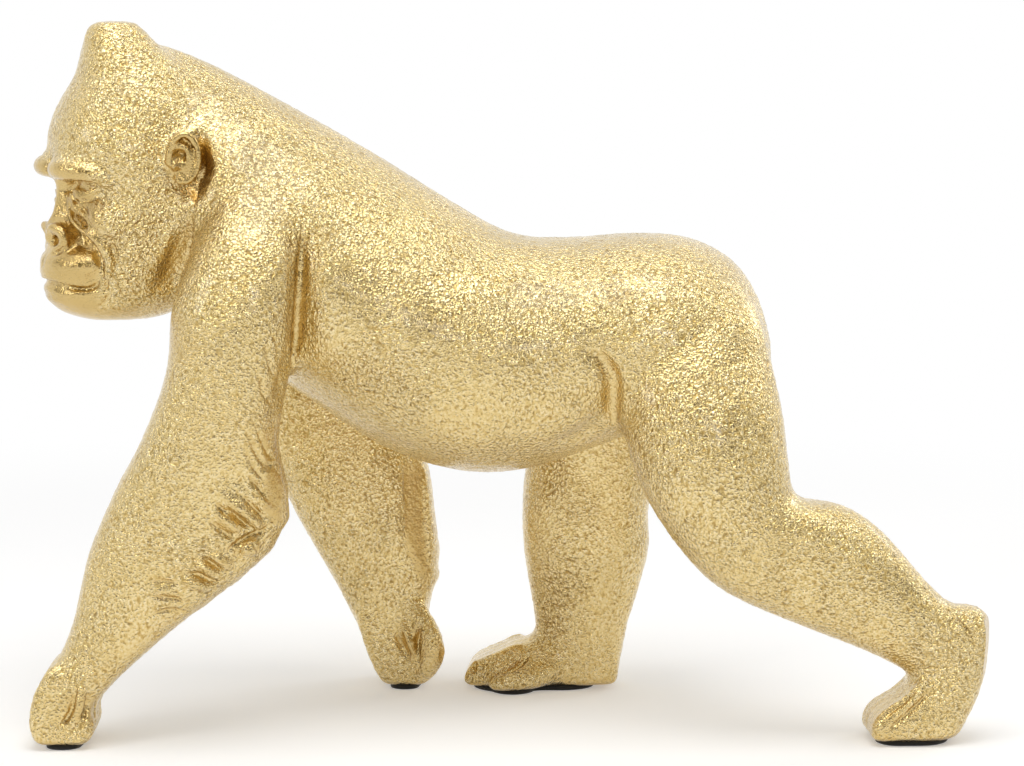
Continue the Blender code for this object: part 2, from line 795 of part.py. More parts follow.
def pad(outline, inset):
    """A flat disc that keeps this far inside a sole's outline."""
    middle = sum(outline, Vector((0, 0))) / len(outline)
    reaches = []
    for index in range(PAD_SIDES):
        angle = 2 * math.pi * index / PAD_SIDES
        ray = Vector((math.cos(angle), math.sin(angle)))
        reach = PAD_INSET
        for start, end in zip(outline, outline[1:] + outline[:1]):
            side = end - start
            slope = ray.x * side.y - ray.y * side.x
            if abs(slope) < 1e-9:
                continue
            offset = start - middle
            along = (offset.x * side.y - offset.y * side.x) / slope
            share = (offset.x * ray.y - offset.y * ray.x) / slope
            if along > 0 and 0 <= share <= 1:
                reach = max(reach, along)
        reaches.append(reach - inset)
    reaches = np.array(reaches)
    for _ in range(PAD_ROUNDING):
        softer = (np.roll(reaches, 1) + reaches + np.roll(reaches, -1)) / 3
        reaches = np.minimum(reaches, softer)
    disc = bmesh.new()
    corners = []
    for index, reach in enumerate(reaches):
        angle = 2 * math.pi * index / PAD_SIDES
        corner = middle + Vector((math.cos(angle), math.sin(angle))) * reach
        corners.append(disc.verts.new((*(corner * MM), 0)))
    base = disc.faces.new(corners)
    top = bmesh.ops.extrude_face_region(disc, geom=[base])["geom"]
    raised = [item for item in top if isinstance(item, bmesh.types.BMVert)]
    bmesh.ops.translate(disc, verts=raised, vec=(0, 0, PAD_THICKNESS * MM))
    bmesh.ops.recalc_face_normals(disc, faces=disc.faces)
    return disc


def pad_name(outline):
    """Which of the four corners of the figure a sole outline belongs to."""
    middle = sum(outline, Vector((0, 0))) / len(outline)
    return f"felt_pad_{'front' if middle.x < 0 else 'rear'}_{'left' if middle.y < 0 else 'right'}"


def material(name, colour, metallic, roughness):
    made = bpy.data.materials.new(name)
    made.use_nodes = True
    shader = made.node_tree.nodes["Principled BSDF"]
    shader.inputs["Base Color"].default_value = (*colour, 1)
    shader.inputs["Metallic"].default_value = metallic
    shader.inputs["Roughness"].default_value = roughness
    return made


def clear_scene():
    for obj in list(bpy.data.objects):
        bpy.data.objects.remove(obj)
    for collection in list(bpy.data.collections):
        bpy.data.collections.remove(collection)


def middle_of(body):
    """The middle of an object's box."""
    corners = np.array([vert.co for vert in body.data.vertices])
    return Vector((corners.min(axis=0) + corners.max(axis=0)) / 2)


def finish(body, outlines, middle):
    """Pads, materials, one collection, and the origin under the middle of the figure."""
    collection = bpy.data.collections.new("gorilla_figurine")
    bpy.context.scene.collection.children.link(collection)
    bpy.context.scene.collection.objects.unlink(body)
    collection.objects.link(body)
    body.data.materials.clear()
    body.data.materials.append(material("gold_finish", (0.83, 0.63, 0.26), 0.9, 0.3))
    felt = material("black_felt", (0.02, 0.02, 0.02), 0.0, 0.9)
    objects = [body]
    for outline in sorted(outlines, key=pad_name):
        disc = pad(outline, PAD_INSET)
        mesh = bpy.data.meshes.new(pad_name(outline))
        disc.to_mesh(mesh)
        disc.free()
        mesh.materials.append(felt)
        made = bpy.data.objects.new(pad_name(outline), mesh)
        collection.objects.link(made)
        objects.append(made)
    for obj in objects:
        obj.data.transform(Matrix.Translation((-middle.x, -middle.y, 0)))


clear_scene()
clay = bmesh.new()
trunk(clay)
arms(clay)
legs(clay)
feet(clay)
head(clay)
stretch = stretch_of(clay)
gorilla = melt(clay, "gorilla_body", CLAY_GRAIN, BLEND_PASSES, stretch)
clay = bmesh.new()
face(clay)
fingers(clay)
toes(clay)
skin_folds(clay)
gorilla = melt(clay, "gorilla_body", DETAIL_GRAIN, DETAIL_PASSES, stretch, gorilla)
carve(gorilla, stretch)
thin(gorilla, BODY_TRIANGLES, stretch)
soles = cut_soles(gorilla)
figure_middle = middle_of(gorilla)
finish(gorilla, soles, figure_middle)
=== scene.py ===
import math

import bmesh
import bpy
import numpy as np
from mathutils import Matrix, Vector, noise
from mathutils.bvhtree import BVHTree
from mathutils.kdtree import KDTree


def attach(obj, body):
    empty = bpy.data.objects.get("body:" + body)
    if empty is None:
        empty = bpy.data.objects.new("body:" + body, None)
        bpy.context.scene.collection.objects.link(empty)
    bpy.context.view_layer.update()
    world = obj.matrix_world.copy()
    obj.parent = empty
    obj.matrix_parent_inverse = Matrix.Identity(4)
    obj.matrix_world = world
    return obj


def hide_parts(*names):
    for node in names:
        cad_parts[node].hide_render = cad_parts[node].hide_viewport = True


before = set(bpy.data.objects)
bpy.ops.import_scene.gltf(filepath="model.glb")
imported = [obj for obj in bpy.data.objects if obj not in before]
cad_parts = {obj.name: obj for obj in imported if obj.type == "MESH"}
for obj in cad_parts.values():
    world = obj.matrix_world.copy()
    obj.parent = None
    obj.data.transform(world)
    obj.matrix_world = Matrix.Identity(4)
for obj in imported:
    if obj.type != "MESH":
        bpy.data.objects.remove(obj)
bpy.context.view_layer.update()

# Gorilla, first the rough casting
# The real figure is cast in one piece, most likely in resin, from a clay original, and coated in
# gold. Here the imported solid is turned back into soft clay: its flat facets are melted away first.

MM = 0.001
ROUGH_GRAIN = 1.8
ROUGH_PASSES = 14
PARED_DEPTH = 14.0
CUT_FADE = 0.3


def melted(name, mesh, grain, passes):
    """One closed skin around everything in a mesh, with its hard edges smoothed away."""
    body = bpy.data.objects.new(name, mesh)
    bpy.context.scene.collection.objects.link(body)
    skin = body.modifiers.new("one skin", "REMESH")
    skin.mode = "VOXEL"
    skin.voxel_size = grain * MM
    soften = body.modifiers.new("soften", "SMOOTH")
    soften.factor = 0.5
    soften.iterations = passes
    return settled(body)


def settled(body):
    """The object with its modifiers worked into its mesh."""
    bpy.context.view_layer.update()
    made = bpy.data.meshes.new_from_object(
        body.evaluated_get(bpy.context.evaluated_depsgraph_get())
    )
    body.modifiers.clear()
    body.data = made
    return body


def skin_points(body):
    """Places and normals of a mesh's points, in millimetres."""
    values = []
    for name in ("co", "normal"):
        flat = np.empty(len(body.data.vertices) * 3)
        body.data.vertices.foreach_get(name, flat)
        values.append(flat.reshape(-1, 3))
    return values[0] / MM, values[1]


def move_skin(body, points):
    """Puts a mesh's points at these places in millimetres."""
    body.data.vertices.foreach_set("co", (points * MM).ravel())
    body.data.update()


def pared(body, cuts):
    """Pares the clay flat, as with a knife, and gives back each point's share in the cuts.

    A cut is its frame, middle, facing direction and half sizes across it and up along it. It runs
    out at its rim and takes away no more than PARED_DEPTH.
    """
    points = skin_points(body)[0]
    flat_share = np.zeros(len(points))
    for place, middle, facing, across_half, up_half in cuts:
        middle = np.array(place @ Vector(middle))
        facing = np.array((place.to_3x3() @ Vector(facing)).normalized())
        across = np.cross(facing, (0, 0, 1))
        across /= np.linalg.norm(across)
        upward = np.cross(across, facing)
        offset = points - middle
        height = offset @ facing
        rim = np.maximum(np.abs(offset @ across) / across_half, np.abs(offset @ upward) / up_half)
        reached = np.clip((1 + CUT_FADE / 2 - rim) / CUT_FADE, 0, 1)
        reached *= (height > -1) * (height < PARED_DEPTH)
        points -= np.outer(np.maximum(height, 0) * reached, facing)
        flat_share = np.maximum(flat_share, reached)
    move_skin(body, points)
    return flat_share


rough_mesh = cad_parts["gorilla_body"].data.copy()
rough_mesh.materials.clear()
gorilla = melted("gorilla_rough", rough_mesh, ROUGH_GRAIN, ROUGH_PASSES)

# Head, modelled in clay
# Face, ears and crest are added as soft rolls and lumps of clay. Their places are millimetres
# from the point where the neck turns the head, before that turn towards the viewer.

HEAD_PIVOT = Vector((-157.7, 0.9, 255.0))
HEAD_TURN_DEG = 25.0
head_place = Matrix.Translation(HEAD_PIVOT) @ Matrix.Rotation(math.radians(HEAD_TURN_DEG), 4, "Z")
figure_place = Matrix.Identity(4)

EYE_Y = 19.0
EYE_Z = 13.2
EYEBALL_RADIUS = 5.0
EAR_X = -20.2
EAR_Z = 28.5
EAR_HALF_LENGTH = 11.4
EAR_HALF_WIDTH = 6.8
SKULL_SIDE = 40.0
EAR_CUT_HALF_WIDTH = 11.5
EAR_CUT_HALF_HEIGHT = 17.0

# The rough ears are pared off, and finer ones are modelled in their place
ear_cuts = []
for side in (-1, 1):
    skull_side = (EAR_X, side * SKULL_SIDE, EAR_Z - 1)
    outward = (0, side, 0)
    ear_cuts.append((head_place, skull_side, outward, EAR_CUT_HALF_WIDTH, EAR_CUT_HALF_HEIGHT))
pared(gorilla, ear_cuts)


def smooth_path(rows, steps):
    """A curve through rows of numbers, with this many points for each span."""
    rows = np.array(rows, float)
    padded = np.vstack([2 * rows[0] - rows[1], rows, 2 * rows[-1] - rows[-2]])
    made = []
    for i in range(1, len(padded) - 2):
        before, start, end, after = padded[i - 1 : i + 3]
        for t in np.arange(steps) / steps:
            bend = (2 * before - 5 * start + 4 * end - after) * t**2
            twist = (3 * start - before - 3 * end + after) * t**3
            made.append(0.5 * (2 * start + (end - before) * t + bend + twist))
    made.append(rows[-1])
    return np.array(made)


def roll(clay, stations, place, sides=12, steps=5):
    """A roll of clay with domed ends. A station is x, y, z and radius."""
    rows = smooth_path(stations, steps)
    tangents = np.gradient(rows[:, :3], axis=0)
    tangents /= np.linalg.norm(tangents, axis=1)[:, None]
    sections = [(row[:3], tangent, row[3]) for row, tangent in zip(rows, tangents)]
    first, last = sections[0], sections[-1]
    for bend_deg in (30, 60, 82):
        reach = math.sin(math.radians(bend_deg))
        shrink = math.cos(math.radians(bend_deg))
        sections.insert(0, (first[0] - first[1] * first[2] * reach, first[1], first[2] * shrink))
        sections.append((last[0] + last[1] * last[2] * reach, last[1], last[2] * shrink))
    across = Vector((0.0, 1.0, 0.0))
    if abs(sections[0][1][1]) > 0.8:
        across = Vector((0.0, 0.0, 1.0))
    rings = []
    for centre, tangent, radius in sections:
        tangent = Vector(tangent)
        across = (across - tangent * across.dot(tangent)).normalized()
        along = tangent.cross(across)
        ring = []
        for i in range(sides):
            angle = 2 * math.pi * i / sides
            reach = along * math.cos(angle) + across * math.sin(angle)
            ring.append(clay.verts.new(place @ (Vector(centre) + reach * radius) * MM))
        rings.append(ring)
    faces = [clay.faces.new(rings[0][::-1]), clay.faces.new(rings[-1])]
    for low, high in zip(rings, rings[1:]):
        for i in range(sides):
            j = (i + 1) % sides
            faces.append(clay.faces.new((low[i], low[j], high[j], high[i])))
    bmesh.ops.recalc_face_normals(clay, faces=faces)


def lump(clay, centre, radii, place, tilt_deg=(0, 0, 0)):
    """An egg of clay, tilted about x, y and z."""
    turn = Matrix.Identity(4)
    for axis, degrees in zip("XYZ", tilt_deg):
        turn = Matrix.Rotation(math.radians(degrees), 4, axis) @ turn
    spot = Matrix.Scale(MM, 4) @ place @ Matrix.Translation(centre)
    shape = spot @ turn @ Matrix.Diagonal((*radii, 1))
    bmesh.ops.create_uvsphere(clay, u_segments=28, v_segments=18, radius=1.0, matrix=shape)


clay = bmesh.new()
for side in (-1, 1):
    # Brow: a fat half-round roll over each eye
    roll(
        clay,
        [
            (-70, side * 2.5, 21.5, 4.2),
            (-72, side * 9, 22.6, 4.8),
            (-71, side * 17, 22.8, 5.0),
            (-65.5, side * 24, 22.2, 4.6),
            (-59, side * 29, 20.4, 3.8),
            (-53, side * 31.5, 16, 2.4),
        ],
        head_place,
    )
    # Eyeball between two lids
    lump(clay, (-57, side * EYE_Y, EYE_Z), (EYEBALL_RADIUS,) * 3, head_place)
    for rise, thickness in ((3.2, 1.2), (-3.2, 1.2)):
        roll(
            clay,
            [
                (-60.5, side * (EYE_Y - 6), EYE_Z - 0.5, 0.9),
                (-62, side * (EYE_Y - 3), EYE_Z + rise * 0.8, thickness),
                (-61.4, side * (EYE_Y + 1.5), EYE_Z + rise, thickness),
                (-57.5, side * (EYE_Y + 5.5), EYE_Z + rise * 0.2, 0.9),
            ],
            head_place,
        )
    # Two slack bags of skin that run from the inner corner of the eye down across the cheek
    roll(
        clay,
        [
            (-66, side * 11, 11, 0.9),
            (-65.3, side * 15, 5, 1.3),
            (-62.3, side * 20, 0.5, 1.4),
            (-58.3, side * 26, -3, 0.9),
        ],
        head_place,
    )
    roll(
        clay,
        [
            (-66.5, side * 7.5, 5, 0.9),
            (-66.2, side * 11, -1, 1.2),
            (-63.6, side * 16, -6, 1.3),
            (-59.6, side * 21, -9.5, 0.9),
        ],
        head_place,
    )
    # Wing of the nose, curled about the nostril like a comma
    roll(
        clay,
        [
            (-74.6, side * 2.5, -7.2, 1.9),
            (-74, side * 7, -5.6, 2.1),
            (-71.6, side * 11, -7, 2.2),
            (-69.8, side * 12.8, -11.5, 2.1),
            (-70.8, side * 11.6, -15.6, 1.8),
            (-73, side * 8, -17.4, 1.4),
        ],
        head_place,
    )
    # Cheek fold that frames the muzzle
    roll(
        clay,
        [
            (-62, side * 25, -7.5, 1.6),
            (-57.5, side * 28.5, -12, 2.4),
            (-53.5, side * 29.5, -20, 2.6),
            (-53, side * 28.5, -28, 1.8),
        ],
        head_place,
    )
    # Ear: plate, rolled rim with its root, inner ridge, two small flaps and lobe
    ear_y = side * 42.0
    lump(
        clay,
        (EAR_X, ear_y, EAR_Z),
        (EAR_HALF_WIDTH, 2.4, EAR_HALF_LENGTH),
        head_place,
        (0, 0, side * 16),
    )
    rim = []
    for angle_deg, stand in (
        (-170, 0.6),
        (165, 1.6),
        (135, 2.8),
        (105, 3.8),
        (75, 4.6),
        (45, 5.2),
        (15, 5.6),
        (-15, 5.4),
        (-45, 4.6),
        (-75, 3.2),
        (-105, 2.2),
    ):
        a = math.radians(angle_deg)
        rim.append(
            (
                EAR_X + math.cos(a) * EAR_HALF_WIDTH,
                ear_y + side * stand,
                EAR_Z + math.sin(a) * EAR_HALF_LENGTH,
                1.75,
            )
        )
    roll(clay, rim, head_place)
    roll(
        clay,
        [
            (EAR_X - 3.6, ear_y + side * 2.0, EAR_Z + 4.6, 1.0),
            (EAR_X - 0.4, ear_y + side * 3.0, EAR_Z + 5.8, 1.3),
            (EAR_X + 2.2, ear_y + side * 3.6, EAR_Z + 3.6, 1.4),
            (EAR_X + 2.7, ear_y + side * 3.8, EAR_Z - 1.5, 1.4),
            (EAR_X + 1.8, ear_y + side * 3.2, EAR_Z - 6.0, 1.2),
        ],
        head_place,
    )
    lump(clay, (EAR_X - 4.2, ear_y + side * 2.2, EAR_Z - 3.6), (1.9, 2.0, 2.2), head_place)
    lump(clay, (EAR_X - 0.4, ear_y + side * 1.8, EAR_Z - 4.4), (1.5, 1.8, 1.5), head_place)
    lump(clay, (EAR_X - 0.6, ear_y + side * 1.2, EAR_Z - 10), (3.6, 2.0, 3.0), head_place)
# Bridge of the nose with its soft tip
roll(
    clay,
    [
        (-66, 0, 17, 3.6),
        (-66.6, 0, 8, 3.6),
        (-68, 0, 0, 4.0),
        (-70.8, 0, -6.5, 4.6),
        (-72, 0, -11, 4.2),
    ],
    head_place,
)
# Upper lip: the great bulb of the muzzle
lump(clay, (-56, 0, -24), (21.8, 26, 11.6), head_place)
lip_path = []
for angle_deg in (-78, -52, -26, 0, 26, 52, 78):
    a = math.radians(angle_deg)
    droop = 2.2 * abs(math.sin(a))
    lip_path.append((-54.8 - math.cos(a) * 20, math.sin(a) * 21, -36 - droop, 1.7))
roll(clay, lip_path, head_place)
# Short ridge of the crest, standing behind its cut-off tip
roll(clay, [(-38, -10, 90, 1.6), (-40, -14, 84, 2.0), (-42, -18, 76, 1.2)], head_place)

# Hands and feet, modelled in clay
# The figure leans on the knuckles of closed fists. The toes of the trailing foot bend under it,
# and the forward foot stands flat. The real ones are part of the same casting.

LEFT_HAND_Y = -61.1
RIGHT_HAND_Y = 60.9

# Outer edge of the left fist: a rounded fold that ends in a hook, and the tip of the little finger
roll(
    clay,
    [
        (-206.5, LEFT_HAND_Y - 17.5, 31, 1.6),
        (-206.8, LEFT_HAND_Y - 17.8, 25, 2.0),
        (-208.6, LEFT_HAND_Y - 17.2, 18.5, 2.0),
        (-211.5, LEFT_HAND_Y - 16.6, 13.5, 1.8),
    ],
    figure_place,
)
# Thumb of the right fist
roll(
    clay,
    [
        (-46, RIGHT_HAND_Y - 16, 38, 4.0),
        (-41.5, RIGHT_HAND_Y - 20, 30, 5.0),
        (-41, RIGHT_HAND_Y - 21, 20, 5.2),
        (-44, RIGHT_HAND_Y - 20, 12, 4.4),
    ],
    figure_place,
)

FINE_GRAIN = 1.0
FINE_PASSES = 3
clay.from_mesh(gorilla.data)
bpy.data.objects.remove(gorilla)
fine_mesh = bpy.data.meshes.new("gorilla_clay")
clay.to_mesh(fine_mesh)
clay.free()
gorilla = melted("gorilla_figure", fine_mesh, FINE_GRAIN, FINE_PASSES)

# Creases, folds and wrinkles
# They are scored into the clay with a blunt tool, and the clay swells up beside it. Each one is
# drawn from one side of the figure, in millimetres, and pressed in along the surface.

# Frame that a stroke is drawn in, the direction of the view and the two axes of its points
VIEW_FRAMES = {
    "left": (figure_place, Vector((0, 1, 0)), (0, 2)),
    "face": (head_place, Vector((1, 0, 0)), (1, 2)),
    "head_left": (head_place, Vector((0, 1, 0)), (0, 2)),
    "head_right": (head_place, Vector((0, -1, 0)), (0, 2)),
}

# View, points, width and depth. A negative depth raises a ridge.
scores = []
for side in (-1, 1):
    temple = "head_left" if side < 0 else "head_right"
    scores += [
        # Hollow under the brow, slit of the eye and rims of the lids
        ("face", [(side * 8, 15.5), (side * 15, 17.6), (side * 23, 17.4), (side * 28, 15)], 4.4, 3.2),
        ("face", [(side * 4.6, 11), (side * 8.5, 13), (side * 13, 15)], 4.0, 2.4),
        (
            "face",
            [
                (side * (EYE_Y - 5), EYE_Z),
                (side * EYE_Y, EYE_Z + 0.8),
                (side * (EYE_Y + 5), EYE_Z - 0.4),
            ],
            1.5,
            1.1,
        ),
        (
            "face",
            [
                (side * (EYE_Y - 7), 12),
                (side * (EYE_Y - 5.5), 8.5),
                (side * EYE_Y, 7.4),
                (side * (EYE_Y + 6), 8.6),
            ],
            1.8,
            1.4,
        ),
        # Slanting creases under the eye, and fine ones beside the nose
        ("face", [(side * 12, 12), (side * 17, 6), (side * 21.5, 2.5), (side * 28, -0.5)], 1.7, 0.9),
        ("face", [(side * 9, 9), (side * 12.5, 1.5), (side * 18, -4), (side * 24, -7)], 1.6, 0.9),
        ("face", [(side * 6.5, 6), (side * 8.5, -1), (side * 13, -6.5), (side * 18, -11)], 1.5, 0.8),
        ("face", [(side * 5.2, 12), (side * 6.2, 6), (side * 8, 1)], 1.4, 0.7),
        ("face", [(side * 15, 3), (side * 19, -1), (side * 24, -3.6)], 1.3, 0.7),
        ("face", [(side * 22, 0.5), (side * 27, -3.5), (side * 31, -8)], 1.5, 0.9),
        ("face", [(side * 25, 11), (side * 29, 7), (side * 31, 2)], 1.5, 0.9),
        # Nostril
        ("face", [(side * 4.8, -12.8), (side * 8.8, -11.2)], 2.9, 4.2),
        # Fold from the wing of the nose round the muzzle
        (
            "face",
            [
                (side * 13, -5),
                (side * 17.5, -11),
                (side * 22.5, -15.5),
                (side * 26, -22),
                (side * 26, -31),
            ],
            2.6,
            2.4,
        ),
        ("face", [(side * 5.5, -18.6), (side * 11, -17.2), (side * 15, -13.6)], 2.2, 1.6),
        (temple, [(-59.5, -4), (-54.5, -9), (-50.5, -17), (-49.6, -27)], 2.6, 0.7),
        # Corner of the mouth, curling up, and the crease below it
        (
            temple,
            [(-73.3, -32.8), (-67.5, -34.6), (-61, -34.9), (-57.5, -32.6), (-56.6, -30)],
            1.7,
            2.0,
        ),
        (temple, [(-55.2, -36.5), (-53.8, -33), (-54.2, -29.5)], 1.6, 1.2),
        (temple, [(-52, -35), (-53.5, -40), (-56.5, -44)], 2.4, 1.2),
        # Hollow of the ear, the channel inside its rim and the gap behind it
        (
            temple,
            [(EAR_X - 3.4, EAR_Z + 1.4), (EAR_X - 0.6, EAR_Z + 1.8), (EAR_X - 0.4, EAR_Z - 1)],
            2.6,
            2.2,
        ),
        (
            temple,
            [
                (EAR_X - 3, EAR_Z + 7.8),
                (EAR_X + 2.2, EAR_Z + 8.0),
                (EAR_X + 4.6, EAR_Z + 3),
                (EAR_X + 4.5, EAR_Z - 4),
            ],
            1.5,
            1.1,
        ),
    ]
scores += [
    # Mouth, the notch between the brows and the groove under the nose
    ("face", [(-17, -33.6), (-9, -32.8), (0, -32.4), (9, -32.8), (17, -33.6)], 1.8, 2.2),
    ("face", [(0, 28), (0, 20)], 2.6, 1.6),
    ("face", [(0, -19), (0, -26)], 1.8, 0.7),
    # Deep gap behind the left ear that runs on as the crease between jaw and neck
    ("left", [(-147.5, 288), (-147.8, 278), (-150.2, 271), (-151.4, 265), (-152.4, 258)], 3.0, 2.0),
    ("left", [(-152.2, 260), (-154, 252), (-156.2, 244), (-159, 233), (-161.7, 221)], 3.4, 1.6),
    (
        "left",
        [(-155, 254), (-156, 246), (-158.4, 237), (-162.5, 229), (-167.5, 223.5), (-173, 220)],
        9.5,
        3.8,
    ),
    ("left", [(-161, 257), (-163.5, 249), (-167, 241), (-172.5, 233), (-179, 226)], 5.0, -1.4),
    # Crease behind the left upper arm
    (
        "left",
        [(-98.6, 252), (-99.4, 240), (-100, 226), (-101.4, 210), (-103.4, 192), (-107, 178)],
        4.4,
        3.0,
    ),
    # Fine wrinkles in the armpit and down the back of the upper arm
    ("left", [(-125.6, 161), (-120.6, 146), (-114.6, 137)], 1.8, 1.0),
    ("left", [(-122, 163.7), (-116.9, 148.5), (-113.2, 140.7)], 1.8, 0.9),
    ("left", [(-127.4, 150.8), (-121.5, 138.8), (-116, 130)], 1.8, 1.0),
    ("left", [(-120.6, 136.5), (-116, 139.5), (-113.6, 139)], 1.6, 1.2),
    ("left", [(-110, 178), (-114, 190), (-116, 203)], 1.8, 0.8),
    ("left", [(-112.5, 166), (-117, 176), (-119.5, 188)], 1.8, 0.7),
    # Groin: a broad soft hook
    ("left", [(36, 193), (44, 188), (48.5, 179), (48.5, 168), (49.5, 158), (54, 148)], 6.0, 2.8),
    # Folds of skin that fan out round the left elbow: ridges first, then the valleys
    ("left", [(-125.5, 133), (-119.5, 124.5), (-113.5, 116.5)], 2.6, -1.2),
    ("left", [(-137.6, 128), (-129.5, 121), (-122.5, 113.6), (-119, 110.2)], 4.4, -3.2),
    ("left", [(-140.5, 118.6), (-134, 113), (-127.8, 107.4)], 3.8, -2.8),
    ("left", [(-127.4, 100.4), (-124.4, 99.6), (-122, 98)], 5.6, -3.0),
    ("left", [(-144.5, 98.4), (-138, 94.6), (-132.8, 90)], 3.8, -2.8),
    ("left", [(-153, 93), (-146, 91.6), (-140.6, 87)], 3.2, -2.4),
    ("left", [(-157.5, 83.6), (-150.5, 82.6), (-144.4, 79.4)], 3.4, -2.4),
    ("left", [(-172, 80), (-163.5, 79.6), (-157, 77)], 2.6, -1.0),
    ("left", [(-134.5, 119.6), (-128, 114), (-121.8, 108)], 2.4, 2.2),
    ("left", [(-140.5, 124), (-134.5, 116.4)], 1.8, 1.2),
    ("left", [(-143, 114.5), (-137, 108.6), (-132, 104.4)], 2.2, 1.4),
    (
        "left",
        [(-135, 97.6), (-131.6, 101.2), (-124.6, 104.8), (-118.6, 107.4), (-113.8, 111.4)],
        3.2,
        2.8,
    ),
    ("left", [(-147.5, 96), (-141.5, 92), (-137, 87.5)], 2.4, 2.0),
    ("left", [(-131, 94.2), (-130.4, 98), (-127, 102.4)], 2.2, 1.4),
    ("left", [(-154.5, 87.6), (-149, 87), (-143.2, 83.4), (-139, 84)], 2.6, 2.2),
    ("left", [(-172, 84.4), (-165, 84.4), (-158.6, 83.4)], 1.8, 1.3),
    ("left", [(-172, 76.4), (-163, 76), (-155, 73.6)], 1.9, 1.2),
    ("left", [(-172.8, 67.4), (-163.3, 69.8), (-155.1, 68)], 1.9, 1.2),
    ("left", [(-127, 96.8), (-126.6, 100.4), (-123.6, 101.4), (-122.2, 98.6), (-124, 97)], 1.5, 1.3),
    ("left", [(-129.4, 128.4), (-122, 119.6), (-116.5, 112.6)], 1.6, 1.1),
    ("left", [(-125.5, 137), (-119.5, 129), (-115.6, 122)], 1.6, 1.0),
    # Hook of the fold on the left fist, and the finger beside it
    ("left", [(-209, 31), (-210.5, 24), (-212.5, 18.5), (-215.5, 14), (-217.5, 14.5)], 1.9, 1.8),
    ("left", [(-204.2, 27), (-205, 20), (-207, 13)], 1.8, 1.5),
    ("left", [(-200.5, 25), (-202, 16), (-201, 9)], 1.6, 1.3),
    # Sinew and flat of the right fist, and the gap to its thumb
    ("left", [(-57.6, 38), (-53.3, 28), (-48.6, 18)], 3.0, -2.6),
    ("left", [(-61, 32), (-56.6, 23), (-52, 14)], 2.8, 1.8),
    ("left", [(-47.3, 36), (-48.6, 30), (-49.4, 24.8), (-47.6, 16)], 2.6, 3.2),
    # Toes and arch of the right foot
    ("left", [(-16, 21), (-19.2, 15), (-19.6, 8)], 2.4, 2.4),
    ("left", [(-9, 11), (1.8, 13.9), (10.6, 20.7)], 2.8, 2.6),
    ("left", [(-12, 19), (0, 24), (10, 27)], 3.4, -1.8),
    # Toes of the left foot
    ("left", [(198, 31), (190, 23), (182, 17), (176, 11)], 1.9, 1.7),
    ("left", [(204, 30), (196, 21), (188, 14), (181, 8)], 1.9, 1.5),
    # Tendon over the left heel
    ("left", [(214, 66), (221, 58), (224, 48)], 3.0, 1.0),
]

STROKE_TIP = 0.1
STROKE_TAPER = 2.8
SWELLING = 0.1
STEEP_SMOOTHNESS = 0.7
RIDGE_SMOOTHNESS = 0.5
CUT_SMOOTHNESS = 0.8
FAR_OFF = 500.0


def scored(body, strokes):
    """Presses strokes into a surface, or raises them, and gives back how smooth the tool left it.

    A stroke is pointed at its ends, and the clay swells a little beside it. The steeper it is, the
    smoother its skin.
    """
    points, normals = skin_points(body)
    faces = [tuple(face.vertices) for face in body.data.polygons]
    tree = BVHTree.FromPolygons(points.tolist(), faces)
    moved = np.zeros(len(points))
    worked = np.zeros(len(points))
    for view, drawn, width, depth in strokes:
        place, gaze, axes = VIEW_FRAMES[view]
        direction = (place.to_3x3() @ gaze).normalized()
        rows = smooth_path(drawn, 10)
        track = []
        for index, row in enumerate(rows):
            start = Vector((0, 0, 0))
            start[axes[0]], start[axes[1]] = row
            hit = tree.ray_cast(place @ (start - gaze * FAR_OFF), direction)[0]
            if hit is not None:
                from_end = min(index, len(rows) - 1 - index) / (len(rows) - 1)
                track.append((np.array(hit), min(1.0, STROKE_TIP + STROKE_TAPER * from_end)))
        if not track:
            continue
        spots = np.array([spot for spot, weight in track])
        inside = (points > spots.min(axis=0) - 2 * width) & (points < spots.max(axis=0) + 2 * width)
        near = np.nonzero(inside.all(axis=1))[0]
        pressed = np.zeros(len(near))
        beside = np.zeros(len(near))
        for spot, weight in track:
            distance = np.linalg.norm(points[near] - spot, axis=1) / (width * (0.5 + 0.5 * weight))
            pressed = np.maximum(pressed, weight * (1 - np.minimum(distance, 1) ** 2) ** 2)
            swell = 1 - np.minimum(np.abs(distance - 1.15) / 0.75, 1) ** 2
            beside = np.maximum(beside, weight * swell)
        moved[near] -= depth * (pressed - SWELLING * beside * (1 - pressed))
        smoothness = min(STEEP_SMOOTHNESS, abs(depth) / width)
        if depth < 0:
            smoothness *= RIDGE_SMOOTHNESS
        worked[near] = np.maximum(worked[near], smoothness * np.minimum(1.6 * pressed, 1))
    move_skin(body, points + normals * moved[:, None])
    return worked


# Flats cut with a knife at the back of the left elbow, the right forearm and the left heel
cut_share = pared(
    gorilla,
    [
        (figure_place, (-113.2, -76.6, 133), (0.757, -0.655, 0), 6, 24),
        (figure_place, (-49.5, 43.6, 84), (0.6, -0.8, 0.08), 7, 36),
        (figure_place, (231.2, -57, 43), (0.94, -0.34, 0), 8, 22),
    ],
)
tooled_share = np.maximum(CUT_SMOOTHNESS * cut_share, scored(gorilla, scores))

# Pebbled coat
# The fur of the real figure is a grain of small pebbles, cast with it and coated in bright gold.
# It fades out on the face, the ears, the knuckles and the creases, which a tool has smoothed.

COAT_HEIGHT = 0.26
COAT_CELL = 2.6
SOLE_RISE = (3.0, 5.5)
WORN_SHARE = 0.7
SHOWN_TRIANGLES = 190000
CARVED_FROM = 0.3
GUARD_SHARE = 0.9
GUARD_STRENGTH = 0.00002

